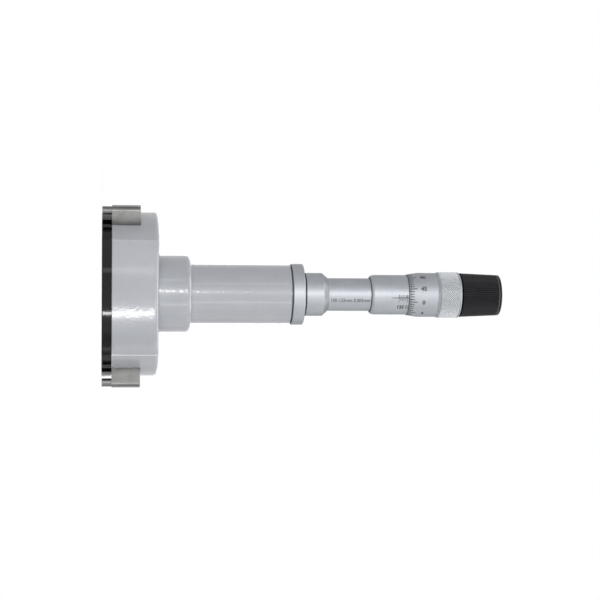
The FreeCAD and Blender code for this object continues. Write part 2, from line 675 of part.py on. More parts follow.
def make_spindle():
    """Spindle: plain front, thread, flange, thimble seat and the stub for the ratchet."""
    section = [
        (0, SPINDLE_TIP_Z),
        (SPINDLE_FRONT_RADIUS, SPINDLE_TIP_Z),
        (SPINDLE_FRONT_RADIUS, SPINDLE_THREAD_Z),
        (SPINDLE_THREAD_RADIUS, SPINDLE_THREAD_Z),
        (SPINDLE_THREAD_RADIUS, FLANGE_FRONT_Z),
        (SPINDLE_FLANGE_RADIUS, FLANGE_FRONT_Z),
        (SPINDLE_FLANGE_RADIUS, WEB_FRONT_Z),
        (SPINDLE_SEAT_RADIUS, WEB_FRONT_Z),
        (SPINDLE_SEAT_RADIUS, WEB_BACK_Z),
        (SPINDLE_STUB_RADIUS, WEB_BACK_Z),
        (SPINDLE_STUB_RADIUS, STUB_END_Z),
        (0, STUB_END_Z),
    ]
    hole_start = STUB_END_Z - END_SCREW_LENGTH - END_SCREW_GAP
    return turned(section).cut(rod(END_SCREW_RADIUS + SEAT_CLEARANCE, hole_start, STUB_END_Z + OVERCUT))


def make_thimble():
    """Thimble: thin front edge, scale taper, plain band, knurled grip and a web inside."""
    edge_radius = THIMBLE_BORE_RADIUS + THIMBLE_EDGE_WALL
    section = [
        (THIMBLE_BORE_RADIUS, THIMBLE_EDGE_Z),
        (edge_radius, THIMBLE_EDGE_Z),
        (THIMBLE_RADIUS, THIMBLE_BAND_Z),
        (THIMBLE_RADIUS, THIMBLE_STEP_Z),
        (KNURL_RADIUS, KNURL_START_Z),
        (KNURL_RADIUS, THIMBLE_END_Z - KNURL_CHAMFER),
        (KNURL_RADIUS - KNURL_CHAMFER, THIMBLE_END_Z),
        (THIMBLE_RECESS_RADIUS, THIMBLE_END_Z),
        (THIMBLE_RECESS_RADIUS, WEB_BACK_Z),
        (SPINDLE_SEAT_RADIUS + SEAT_CLEARANCE, WEB_BACK_Z),
        (SPINDLE_SEAT_RADIUS + SEAT_CLEARANCE, WEB_FRONT_Z),
        (THIMBLE_BORE_RADIUS, WEB_FRONT_Z),
    ]
    return turned(section)


def make_thimble_nut():
    """Hexagon nut that clamps the thimble to the spindle."""
    nut = hexagon(THIMBLE_NUT_WIDTH, WEB_BACK_Z, THIMBLE_NUT_END_Z)
    bore_radius = SPINDLE_STUB_RADIUS + SEAT_CLEARANCE
    return nut.cut(rod(bore_radius, WEB_BACK_Z - OVERCUT, THIMBLE_NUT_END_Z + OVERCUT))


def make_ratchet_wheel():
    """Toothed wheel fixed on the spindle's stub, with a tooth gap in the pawl's direction."""
    root = WHEEL_RADIUS - TOOTH_DEPTH
    half = 180.0 / TOOTH_COUNT
    outline = []
    for tooth in range(TOOTH_COUNT):
        gap = polar(root, 2 * half * tooth)
        crest = polar(WHEEL_RADIUS, 2 * half * tooth + half)
        outline += [(gap.x, gap.y), (crest.x, crest.y)]
    wheel = prism(outline, THIMBLE_NUT_END_Z, WHEEL_END_Z)
    bore_radius = SPINDLE_STUB_RADIUS + SEAT_CLEARANCE
    return wheel.cut(rod(bore_radius, THIMBLE_NUT_END_Z - OVERCUT, WHEEL_END_Z + OVERCUT))


def make_ratchet_drum():
    """Drum in the cap: it runs on the stub and holds the pawl beside the wheel."""
    section = [
        (CAVITY_RADIUS, DRUM_START_Z),
        (DRUM_RADIUS, DRUM_START_Z),
        (DRUM_RADIUS, DRUM_END_Z),
        (SPINDLE_STUB_RADIUS + RUNNING_CLEARANCE, DRUM_END_Z),
        (SPINDLE_STUB_RADIUS + RUNNING_CLEARANCE, CAVITY_END_Z),
        (CAVITY_RADIUS, CAVITY_END_Z),
    ]
    pawl_bore = laid_along_x(rod(PAWL_BORE_RADIUS, 0, DRUM_RADIUS + OVERCUT), 0, WHEEL_MID_Z)
    return turned(section).cut(pawl_bore)


def make_ratchet_pawl():
    """Plunger with a chisel tip that rests in a tooth gap of the wheel."""
    pawl = laid_along_x(rod(PAWL_RADIUS, 0, PAWL_LENGTH), PAWL_TIP_RADIUS, WHEEL_MID_Z)
    crest_half = WHEEL_RADIUS * math.sin(math.pi / TOOTH_COUNT)
    lean = TOOTH_DEPTH / crest_half
    shoulder = PAWL_TIP_RADIUS + PAWL_RADIUS * lean
    outline = [
        (PAWL_TIP_RADIUS, 0),
        (shoulder, -PAWL_RADIUS),
        (PAWL_BACK_RADIUS + OVERCUT, -PAWL_RADIUS),
        (PAWL_BACK_RADIUS + OVERCUT, PAWL_RADIUS),
        (shoulder, PAWL_RADIUS),
    ]
    return pawl.common(prism(outline, DRUM_START_Z, WHEEL_END_Z))


def make_pawl_spring():
    """Small spring between the pawl and the inside of the cap."""
    start = PAWL_BACK_RADIUS + RUNNING_CLEARANCE
    reach = math.sqrt(CAP_BORE_RADIUS ** 2 - PAWL_SPRING_RADIUS ** 2) - RUNNING_CLEARANCE
    spring = coil(PAWL_SPRING_RADIUS, PAWL_SPRING_WIRE, PAWL_SPRING_TURNS, reach - start)
    return laid_along_x(spring, start, WHEEL_MID_Z)


def make_ratchet_cap():
    """Tapered cap with a rounded end, a bore for the drum and flutes all round."""
    section = [
        (CAP_HOLE_RADIUS, CAP_BORE_END_Z),
        (CAP_BORE_RADIUS, CAP_BORE_END_Z),
        (CAP_BORE_RADIUS, CAP_START_Z),
        (CAP_FRONT_RADIUS, CAP_START_Z),
    ]
    section += quarter_round(CAP_REAR_RADIUS, CAP_END_Z, CAP_END_ROUND, CAP_END_ROUND)
    section.append((CAP_HOLE_RADIUS, CAP_END_Z))
    flute = make_flute()
    flutes = [turned_to(flute, 360.0 / FLUTE_COUNT * n) for n in range(FLUTE_COUNT)]
    return turned(section).cut(flutes)


def make_flute():
    """Cutting wedge for one flute, along the cap's slope at +X."""
    straight = CAP_LENGTH - CAP_END_ROUND
    slope = FreeCAD.Vector(CAP_REAR_RADIUS - CAP_FRONT_RADIUS, 0, straight) * (1 / straight)
    start = FreeCAD.Vector(CAP_FRONT_RADIUS, 0, CAP_START_Z) - slope * OVERCUT
    reach = FLUTE_WIDTH / 2 * (FLUTE_DEPTH + OVERCUT) / FLUTE_DEPTH
    corners = [
        start + FreeCAD.Vector(-FLUTE_DEPTH, 0, 0),
        start + FreeCAD.Vector(OVERCUT, -reach, 0),
        start + FreeCAD.Vector(OVERCUT, reach, 0),
    ]
    wedge = Part.Face(Part.makePolygon(corners + corners[:1]))
    return wedge.extrude(slope * (straight - FLUTE_END_MARGIN + OVERCUT))


def make_ratchet_screw():
    """Slotted screw that keeps the drum on the spindle's stub."""
    head_end = STUB_END_Z + END_SCREW_HEAD_HEIGHT
    section = [
        (0, STUB_END_Z - END_SCREW_LENGTH),
        (END_SCREW_RADIUS, STUB_END_Z - END_SCREW_LENGTH),
        (END_SCREW_RADIUS, STUB_END_Z),
        (END_SCREW_HEAD_RADIUS, STUB_END_Z),
        (END_SCREW_HEAD_RADIUS, head_end),
        (0, head_end),
    ]
    half = END_SCREW_SLOT_WIDTH / 2
    reach = END_SCREW_HEAD_RADIUS + OVERCUT
    slot = block(-reach, reach, half, head_end - END_SCREW_SLOT_DEPTH, head_end + OVERCUT)
    return turned(section).cut(slot)


def make_parts():
    """All pieces by name, each in its place."""
    parts = {
        "head_body": make_head_body(),
        "front_cover": make_front_cover(),
        "cover_screws": make_cover_screws(),
        "extension_tube": make_extension_tube(),
        "union_ring": make_union_ring(),
        "stem_body": make_stem_body(),
        "scale_sleeve": make_scale_sleeve(),
        "adjusting_nut": make_adjusting_nut(),
        "rod_bush_front": make_rod_bush_front(),
        "rod_bush_rear": make_rod_bush_rear(),
        "measuring_cone": make_measuring_cone(),
        "push_rod": make_push_rod(),
        "thrust_pin": make_thrust_pin(),
        "spindle": make_spindle(),
        "thimble": make_thimble(),
        "thimble_nut": make_thimble_nut(),
        "ratchet_wheel": make_ratchet_wheel(),
        "ratchet_drum": make_ratchet_drum(),
        "ratchet_pawl": make_ratchet_pawl(),
        "pawl_spring": make_pawl_spring(),
        "ratchet_cap": make_ratchet_cap(),
        "ratchet_screw": make_ratchet_screw(),
    }
    repeated = {
        "anvil_carrier": make_anvil_carrier(),
        "contact_pin": make_contact_pin(),
        "anvil_spring": make_anvil_spring(),
    }
    for name, shape in repeated.items():
        for number, copy in enumerate(around_anvils(shape), 1):
            parts[f"{name}_{number}"] = copy
    return parts


os.makedirs("parts", exist_ok=True)
for node, shape in make_parts().items():
    shape.exportStep(f"parts/{node}.step")
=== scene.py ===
import json
import math

import bmesh
import bpy
from mathutils import Matrix, Vector


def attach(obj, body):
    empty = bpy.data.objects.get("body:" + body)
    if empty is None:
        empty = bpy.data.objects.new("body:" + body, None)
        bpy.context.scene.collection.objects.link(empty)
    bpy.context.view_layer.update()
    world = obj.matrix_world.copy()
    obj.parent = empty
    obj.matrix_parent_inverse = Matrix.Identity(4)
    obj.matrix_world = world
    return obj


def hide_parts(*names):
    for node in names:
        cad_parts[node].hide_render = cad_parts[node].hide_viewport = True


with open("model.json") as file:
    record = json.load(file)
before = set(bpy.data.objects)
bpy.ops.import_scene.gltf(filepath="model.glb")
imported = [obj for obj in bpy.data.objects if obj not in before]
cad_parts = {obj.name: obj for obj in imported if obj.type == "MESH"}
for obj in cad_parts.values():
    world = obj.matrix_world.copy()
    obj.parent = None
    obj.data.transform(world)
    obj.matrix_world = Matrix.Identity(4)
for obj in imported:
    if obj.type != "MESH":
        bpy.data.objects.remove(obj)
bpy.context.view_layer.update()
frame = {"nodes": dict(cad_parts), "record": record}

# Lengths are in millimetres and angles in degrees, and the stage's lengths are in metres.
MM = 0.001
NODES = frame["nodes"]

# Angles round the axis: towards the camera, of the sleeve's datum line, and of the lobe's edge that
# carries a painted highlight line
CAMERA_ANGLE = 266.0
SCALE_ANGLE = 275.2
HIGHLIGHT_EDGE_ANGLE = 310.0

# Camera
FOCAL_LENGTH = 93.0
SENSOR_WIDTH = 36.0
CAMERA_DISTANCE = 924.8
CAMERA_HEIGHT = 1.86
CAMERA_SIDE = 3.4
CAMERA_TILT = 7.17
CAMERA_ROLL = 0.24
CLIP_METRES = (0.01, 100.0)

# Thimble, in radii and in heights along the axis. A section's points are (radius, height).
THIMBLE_EDGE = 182.515
THIMBLE_BORE = 12.05
THIMBLE_RADIUS = 13.35
THIMBLE_STEPS = 160
TAPER_FRONT = (12.22, THIMBLE_EDGE + 0.08)
TAPER_BACK = (13.30, 188.83)
RELIEF_RADIUS = 13.2
SPINDLE_SEAT = 5.02
SPINDLE_SEAT_FRONT = 210.515
POCKET_RADIUS = 8.5
POCKET_FLOOR = 213.515
THIMBLE_END = 214.915
THIMBLE_FRONT_SECTION = [
    (THIMBLE_BORE, THIMBLE_EDGE),
    (12.17, THIMBLE_EDGE),
    TAPER_FRONT,
    TAPER_BACK,
    (THIMBLE_RADIUS, 189.215),
    (THIMBLE_RADIUS, 200.35),
    (RELIEF_RADIUS, 200.5),
    (RELIEF_RADIUS, 200.65),
    (THIMBLE_RADIUS, 200.75),
]
THIMBLE_BACK_SECTION = [
    (13.84, 214.0),
    (13.86, 214.2),
    (13.30, 214.85),
    (13.15, THIMBLE_END),
    (POCKET_RADIUS, THIMBLE_END),
    (POCKET_RADIUS, POCKET_FLOOR),
    (SPINDLE_SEAT, POCKET_FLOOR),
    (SPINDLE_SEAT, SPINDLE_SEAT_FRONT),
    (THIMBLE_BORE, SPINDLE_SEAT_FRONT),
]

# Knurl. It has an even number of rows, so that the last one meets the plain ring's corners.
KNURL_LOW, KNURL_HIGH = 201.0, 213.8
KNURL_CREST, KNURL_DEPTH = 13.92, 0.28
KNURL_CLIMB = (200.6, 202.4)
KNURL_ROWS = 20
KNURL_STEPS = THIMBLE_STEPS // 2
# How far a diamond's flat crest reaches towards its corners
KNURL_FLAT = 0.45
# The thimble's edges that bend by more than this stay sharp.
SHARP_ANGLE = 24.0

# Colours, from dark to light where there are two
PAINT = ((0.318, 0.331, 0.360), (0.353, 0.366, 0.396))
PAINT_SPECK = (0.56, 0.57, 0.60)
# Pale colour of the rubbed edges, also used for the painted highlight along one lobe edge
PAINT_WORN_AND_HIGHLIGHT = (0.78, 0.79, 0.81)
COVER = ((0.0018, 0.0018, 0.0023), (0.0045, 0.0045, 0.0055))
COVER_DUST = (0.04, 0.04, 0.04)
COVER_WORN = (0.14, 0.14, 0.15)
STEEL = ((0.292, 0.307, 0.328), (0.345, 0.361, 0.385))
STEEL_WORN = (0.75, 0.75, 0.76)
TURNED_TINT = (0.75, 0.75, 0.75, 1.0)
# Colour of the painted shade in grooves and joints
BAND_SHADE = (0.035, 0.037, 0.04)
# Knurl: painted shade, partly dirt, in the valleys, and painted highlights on the crests
KNURL_VALLEY_DIRT_AND_SHADE = (0.27, 0.28, 0.29)
KNURL_CREST_HIGHLIGHT = ((0.53, 0.55, 0.57), (0.65, 0.67, 0.69))
GROUND = ((0.215, 0.215, 0.208), (0.318, 0.315, 0.302))
GROUND_WORN = (0.8, 0.8, 0.79)
GROUND_TINT = (0.8, 0.8, 0.8, 1.0)
PIN = ((0.10, 0.10, 0.102), (0.155, 0.155, 0.157))
PIN_WORN = (0.3, 0.3, 0.31)
INNER_STEEL = ((0.38, 0.38, 0.385), (0.45, 0.45, 0.45))
BRONZE = ((0.36, 0.25, 0.12), (0.46, 0.33, 0.17))
BRONZE_WORN = (0.7, 0.56, 0.34)
CAP = ((0.0085, 0.0080, 0.0100), (0.014, 0.0130, 0.0160))
CAP_DUST = (0.06, 0.06, 0.06)
CAP_WORN = (0.10, 0.10, 0.105)
# Cap: a painted highlight round its end, and painted shade at its joint with the thimble
CAP_RIM_HIGHLIGHT = (0.17, 0.17, 0.175)
CAP_JOINT_SHADE = (0.002, 0.002, 0.0022)
LINE_INK = ((0.012, 0.012, 0.013), (0.045, 0.045, 0.047))
STEM_INK = ((0.02, 0.022, 0.021), (0.06, 0.063, 0.062))
FLOOR_GREY = ((0.94, 0.94, 0.94), (0.97, 0.97, 0.97))
WHITE = (1.0, 1.0, 1.0, 1.0)

# Input and output places of the colours in a Mix node
MIX_COLOURS = slice(6, 8)
MIX_RESULT = 2
BEVEL_SAMPLES = 6
# The values of a noise between which most of its change lies
SPREAD = (0.3, 0.7)
# The bend at an edge, as one less its cosine, over which its wear sets in
BEND = (0.02, 0.25)
# How strongly the rubbed edges and the cap's painted rim highlight show
COVER_WEAR, TURNED_WEAR, GROUND_WEAR, CAP_WEAR = 0.45, 0.6, 0.7, 0.5
RIM_HIGHLIGHT_STRENGTH = 0.75
# How dark turning lines and grinding marks are beside the bare metal, and how dark the slides' painted
# shade towards the axis is
LINE_SHADE, MARK_SHADE, INWARD_SHADE_FACTOR = 0.72, 0.7, 0.62
# Shares of the fine noises in the paint's and the metal's relief and in the metal's roughness
FINE_PEEL, GRAIN_RELIEF, GRAIN_ROUGHNESS = 0.03, 0.35, 0.04

# Radii over which the slides' painted shade towards the axis fades out, and how far the grinding marks
# draw it in
INWARD_SHADE_RADII = (51.5, 54.5)
INWARD_SHADE_WAVER = 4.0
# Distances out along that angle over which the painted highlight on the lobe's edge sets in
HIGHLIGHT_EDGE_REACH = (46.0, 48.0)
# Painted shade in grooves and joints, and a painted darker reflection on the cone's face, as (low, high,
# outer radius, strength)
PAINTED_SHADE_BANDS = [
    (111.5, 112.34, 18.0, 0.8),
    (119.38, 121.04, 13.2, 0.9),
    (131.4, 134.6, 14.0, 0.3),
    (160.1, 160.36, 11.9, 0.9),
]
SHADE_BAND_FADE = 0.3
# Heights and radii between which the knurl's painted crest highlights and valley shade show
KNURL_BAND = (KNURL_LOW + 1.1, KNURL_HIGH - 0.5)
KNURL_TONES = (KNURL_CREST - 0.8 * KNURL_DEPTH, KNURL_CREST - 0.1 * KNURL_DEPTH)
# Heights of the cap's painted rim highlight and of the painted shade at its joint with the thimble
CAP_RIM_HIGHLIGHT_BAND = (237.95, 238.35)
CAP_JOINT_SHADE_BAND = (215.0, 215.9)

# Marks
MARK_PROUD = 0.012
SLEEVE_RADIUS = 12.0
STEM_RADIUS = 9.86
# Height of a figure in units of its font, and the bands it is cut into so that it bends
FONT_HEIGHT = 0.72
FIGURE_BANDS = 8
CUT_TOLERANCE = 1e-5
# Figures stand at every fifth unit, and a line at every half.
FIGURE_UNITS = 5
# The sleeve's graduations, with their reach round the axis
LARGEST_SIZE = 125
FEED_LEFT = 6.015
LARGEST_SIZE_Z = THIMBLE_EDGE - FEED_LEFT
SCALE_LENGTH = 25
MARK_STEP = 0.5
DATUM_LEAD = 4.0
DATUM_TAIL = 0.3
DATUM_WIDTH = 0.4
SLEEVE_LINE_WIDTH = 0.3
FIFTH_REACH = (-9.0, 14.0)
UNIT_REACH = (0.0, 9.0)
HALF_REACH = (-8.0, 0.0)
SLEEVE_FIGURE_ANGLE = SCALE_ANGLE + 28.5
SLEEVE_FIGURE_SHIFT = 1.1
# The last figure keeps clear of the thimble's inner wall when the thimble is right in.
LAST_FIGURE_Z = 202.0
# The thimble's graduations, as (length, width)
THIMBLE_ZERO = SCALE_ANGLE + 10.8
THIMBLE_UNITS = 50
FIVE_LINE = (5.0, 0.5)
UNIT_LINE = (3.3, 0.46)
HALF_LINE = (1.8, 0.32)
LINE_START = 0.1
# A painted shadow line round the thimble's front edge
EDGE_SHADOW_SHIFT = 0.25
EDGE_SHADOW_WIDTH = 0.4
THIMBLE_FIGURE_Z = 191.5
STEM_TEXT_ANGLE = CAMERA_ANGLE + 20.5
STEM_TEXT_Z = 147.5

# Stage, in metres and watts
FLOOR_SIZE = 6.0
FLOOR_PARTS = 4
FLOOR_DROP = 0.00005
FLOOR_GRAIN = 90.0
SHADE_FULL, SHADE_NONE = 0.065, 0.115
WORLD_LEVEL = 0.35
# Lamps beside the axis: a broad soft box before the object, narrow strips for the sharp highlights, and
# fills. The angle is from the camera's, the width goes round the axis and the length along it.
LAMPS = [
    dict(name="box", angle=20.0, distance=1.3, height=0.12, width=2.7, length=1.5, power=7.5),
    dict(name="side", angle=92.0, distance=1.3, height=0.12, width=1.1, length=1.5, power=2.5),
    dict(name="key", angle=-7.0, distance=1.2, height=-0.13, width=0.05, length=0.44, power=3.6),
    dict(name="key_steel", angle=-6.0, distance=1.2, height=0.52, width=0.25, length=0.36, power=2.7),
    dict(name="upper", angle=-40.0, distance=1.2, height=0.2, width=0.08, length=1.2, power=0.6),
    dict(name="lower", angle=32.0, distance=1.2, height=0.2, width=0.08, length=1.2, power=0.8),
    dict(name="back", angle=180.0, distance=1.6, height=0.6, width=1.5, length=1.2, power=5.0),
]
TOP_LAMP = dict(name="top", height=1.4, size=1.2, power=13.0)


def direction(angle):
    """Unit vector at an angle round the axis."""
    return Vector((math.cos(math.radians(angle)), math.sin(math.radians(angle)), 0.0))


def new_object(name, data):
    """An object in the scene with the data given."""
    made = bpy.data.objects.new(name, data)
    bpy.context.scene.collection.objects.link(made)
    return made


def make_camera():
    """Camera lying beside the object, rolled so that the axis runs across the picture."""
    out = direction(CAMERA_ANGLE)
    tilt = math.radians(CAMERA_TILT)
    forward = -out * math.cos(tilt) + Vector((0, 0, math.sin(tilt)))
    level_right = out * math.sin(tilt) + Vector((0, 0, math.cos(tilt)))
    level_up = level_right.cross(forward)
    place = out * CAMERA_DISTANCE + Vector((0, 0, CAMERA_HEIGHT)) - level_up * CAMERA_SIDE
    roll = math.radians(CAMERA_ROLL)
    right = level_right * math.cos(roll) + level_up * math.sin(roll)
    up = level_up * math.cos(roll) - level_right * math.sin(roll)
    turn = Matrix((right, up, -forward)).transposed().to_4x4()
    data = bpy.data.cameras.new("camera")
    data.lens = FOCAL_LENGTH
    data.sensor_width = SENSOR_WIDTH
    data.clip_start, data.clip_end = CLIP_METRES
    camera = new_object("camera", data)
    camera.matrix_world = Matrix.Translation(place * MM) @ turn
    bpy.context.scene.camera = camera


# Materials

class Tree:
    """The node tree of a material or world, with short calls for adding and joining nodes."""

    def __init__(self, owner):
        owner.use_nodes = True
        self.tree = owner.node_tree
        self.tree.nodes.clear()

    def feed(self, socket, value):
        """Sets an input, or joins it to the output given."""
        if isinstance(value, bpy.types.NodeSocket):
            self.tree.links.new(value, socket)
        else:
            socket.default_value = value

    def add(self, kind, sources=(), **settings):
        """Adds a node. sources are pairs of an input and what it is set or joined to."""
        node = self.tree.nodes.new("ShaderNode" + kind)
        for name, value in settings.items():
            setattr(node, name, value)
        for key, value in sources:
            self.feed(node.inputs[key], value)
        return node

    def calculate(self, operation, first, second):
        """What an operation gives for two numbers."""
        return self.add("Math", [(0, first), (1, second)], operation=operation).outputs[0]

    def plus(self, first, second):
        return self.calculate("ADD", first, second)

    def minus(self, first, second):
        return self.calculate("SUBTRACT", first, second)

    def times(self, first, second):
        return self.calculate("MULTIPLY", first, second)

    def larger(self, first, second):
        return self.calculate("MAXIMUM", first, second)

    def ramp(self, value, low, high, start=0.0, end=1.0):
        """A value from low..high taken to start..end, kept within them."""
        sources = [
            ("Value", value), ("From Min", low), ("From Max", high), ("To Min", start), ("To Max", end),
        ]
        return self.add("MapRange", sources, clamp=True).outputs[0]


class Shader(Tree):
    """A material's node tree, with calls for the patterns on a surface."""

    def __init__(self, name):
        self.material = bpy.data.materials.new(name)
        super().__init__(self.material)
        self.output = self.add("OutputMaterial")
        self.coords = self.add("TexCoord").outputs["Object"]

    def noise(self, size, detail, roughness, stretch=(1, 1, 1)):
        """Noise from 0 to 1, size in features per millimetre, stretched along each axis."""
        scale = [part / MM for part in stretch]
        place = self.add("Mapping", [("Vector", self.coords), ("Scale", scale)]).outputs[0]
        sources = [("Vector", place), ("Scale", size), ("Detail", detail), ("Roughness", roughness)]
        return self.add("TexNoise", sources).outputs["Fac"]

    def dot(self, first, second):
        """Scalar product of two vectors."""
        return self.add("VectorMath", [(0, first), (1, second)], operation="DOT_PRODUCT").outputs["Value"]

    def mix(self, factor, first, second):
        """Mix of two colours."""
        node = self.add("Mix", [("Factor", factor)], data_type="RGBA")
        for socket, colour in zip(node.inputs[MIX_COLOURS], (first, second)):
            joined = isinstance(colour, bpy.types.NodeSocket)
            self.feed(socket, colour if joined else (*colour, 1.0))
        return node.outputs[MIX_RESULT]

    def reach(self):
        """Distance from the axis, in metres."""
        sources = [(0, self.coords), (1, (1.0, 1.0, 0.0))]
        flat = self.add("VectorMath", sources, operation="MULTIPLY").outputs[0]
        return self.add("VectorMath", [(0, flat)], operation="LENGTH").outputs["Value"]

    def band(self, low, high, soft=0.03):
        """1 between two heights along the axis, 0 outside them."""
        z = self.add("SeparateXYZ", [(0, self.coords)]).outputs["Z"]
        above = self.ramp(z, (low - soft) * MM, (low + soft) * MM)
        below = self.ramp(z, (high - soft) * MM, (high + soft) * MM, start=1.0, end=0.0)
        return self.times(above, below)

    def rounded(self, radius):
        """Normals as if the edges had a round of a radius."""
        return self.add("Bevel", [("Radius", radius * MM)], samples=BEVEL_SAMPLES).outputs[0]

    def edge(self, radius, bend=BEND):
        """1 on sharp edges, 0 on open faces."""
        flat = self.add("NewGeometry").outputs["Normal"]
        return self.ramp(self.minus(1.0, self.dot(self.rounded(radius), flat)), *bend)

    def worn(self, radius, size, patches, detail=4.0, strength=1.0, bend=BEND):
        """Rubbed edges, broken into patches where a noise runs over two values."""
        noise = self.noise(size, detail, roughness=0.7)
        return self.times(self.edge(radius, bend), self.ramp(noise, *patches, end=strength))

    def bump(self, height, depth, rounding=0.0):
        """Normal for a height from 0 to 1 that stands for a depth."""
        sources = [("Height", height), ("Distance", depth * MM), ("Strength", 1.0)]
        if rounding:
            sources.append(("Normal", self.rounded(rounding)))
        return self.add("Bump", sources).outputs[0]

    def finish(self, sources):
        """Adds the surface shader, joins it to the output and gives the material."""
        surface = self.add("BsdfPrincipled", sources)
        self.feed(self.output.inputs[0], surface.outputs[0])
        return self.material


def shade(colour, factor):
    """A colour made darker by a factor."""
    return [factor * part for part in colour]


def head_paint():
    """Grey stoved paint with an orange peel, a few paler, rubbed edges, and a painted highlight along one
    lobe edge.
    """
    s = Shader("head_paint")
    cloud = s.noise(0.06, detail=4.0, roughness=0.6)
    speck = s.noise(5.0, detail=2.0, roughness=0.6)
    colour = s.mix(s.ramp(cloud, *SPREAD), *PAINT)
    colour = s.mix(s.ramp(speck, 0.56, 0.8, end=0.5), colour, PAINT_SPECK)
    worn = s.worn(radius=0.45, size=0.5, patches=(0.45, 0.7), detail=5.0, strength=0.5, bend=(0.03, 0.2))
    # Painted highlight: a pale line along the lobe's outermost edge on one side, mixed in with the worn
    # edges' colour
    low, high = HIGHLIGHT_EDGE_REACH
    outermost = s.ramp(s.dot(s.coords, direction(HIGHLIGHT_EDGE_ANGLE)), low * MM, high * MM)
    edge_highlight = s.times(s.edge(radius=1.1, bend=(0.02, 0.12)), outermost)
    colour = s.mix(s.larger(worn, edge_highlight), colour, PAINT_WORN_AND_HIGHLIGHT)
    peel = s.noise(0.68, detail=1.0, roughness=0.4)
    fine = s.noise(2.2, detail=1.0, roughness=0.4)
    normal = s.bump(s.plus(peel, s.times(fine, FINE_PEEL)), depth=0.055, rounding=0.9)
    return s.finish([
        ("Base Color", colour), ("Roughness", s.ramp(cloud, *SPREAD, start=0.34, end=0.42)),
        ("Normal", normal),
        ("Coat Weight", 1.0), ("Coat Roughness", 0.17), ("Coat IOR", 1.6), ("Coat Normal", normal),
        ("Specular IOR Level", 0.2),
    ])


def cover_black():
    """Gloss black paint with light dust and paler rubbed edges."""
    s = Shader("cover_black")
    cloud = s.noise(0.08, detail=4.0, roughness=0.6)
    dust = s.noise(4.0, detail=3.0, roughness=0.7)
    colour = s.mix(s.ramp(cloud, *SPREAD), *COVER)
    colour = s.mix(s.ramp(dust, 0.66, 0.85, end=0.3), colour, COVER_DUST)
    worn = s.worn(radius=0.3, size=0.6, patches=(0.42, 0.66), detail=5.0)
    colour = s.mix(s.times(worn, COVER_WEAR), colour, COVER_WORN)
    peel = s.noise(0.7, detail=2.0, roughness=0.45)
    return s.finish([
        ("Base Color", colour), ("Roughness", s.ramp(cloud, *SPREAD, start=0.06, end=0.10)),
        ("Normal", s.bump(peel, depth=0.005, rounding=0.3)), ("Specular IOR Level", 0.2),
    ])


def turned_metal(name, tones, rough, line_depth=0.006, worn_colour=STEEL_WORN, rounding=0.12, shade_bands=(),
                 knurled=False):
    """Turned metal: fine lines round the axis, slow stains, and brighter rubbed edges.

    The bands given along the axis get painted shade. A knurled one has painted highlights on its crests
    and painted shade, partly dirt, in its valleys in the knurl's band.
    """
    s = Shader(name)
    dark = tones[0]
    lines = s.noise(1.0, detail=3.0, roughness=0.65, stretch=(0.05, 0.05, 6.0))
    stain = s.noise(0.11, detail=5.0, roughness=0.6, stretch=(1, 1, 0.6))
    grain = s.noise(7.0, detail=2.0, roughness=0.6)
    colour = s.mix(s.ramp(stain, 0.3, 0.72), *tones)
    colour = s.mix(s.ramp(lines, 0.5, 0.85, end=0.35), colour, shade(dark, LINE_SHADE))
    if knurled:
        # Painted highlights on the knurl's crests and painted shade, partly dirt, in its valleys
        valley, crest = KNURL_TONES
        above = s.ramp(s.reach(), valley * MM, crest * MM)
        crest_highlight = s.mix(s.ramp(grain, *SPREAD), *KNURL_CREST_HIGHLIGHT)
        colour = s.mix(s.band(*KNURL_BAND), colour, s.mix(above, KNURL_VALLEY_DIRT_AND_SHADE, crest_highlight))
    worn = s.worn(radius=0.15, size=1.3, patches=(0.35, 0.6))
    colour = s.mix(s.times(worn, TURNED_WEAR), colour, worn_colour)
    # Painted shade in grooves and joints, and a painted darker reflection on the cone's face, spotted by
    # the grain
    for low, high, outer, strength in shade_bands:
        inside = s.ramp(s.reach(), (outer - SHADE_BAND_FADE) * MM, outer * MM, start=1.0, end=0.0)
        spots = s.ramp(grain, 0.2, 0.6, start=0.8 * strength, end=strength)
        colour = s.mix(s.times(s.times(s.band(low, high), inside), spots), colour, BAND_SHADE)
    height = s.plus(lines, s.times(grain, GRAIN_RELIEF))
    slow = s.ramp(stain, *SPREAD, start=rough - 0.03, end=rough + 0.03)
    roughness = s.plus(slow, s.times(grain, GRAIN_ROUGHNESS))
    return s.finish([
        ("Base Color", colour), ("Metallic", 1.0), ("Roughness", roughness),
        ("Specular Tint", TURNED_TINT), ("Normal", s.bump(height, line_depth, rounding)),
    ])


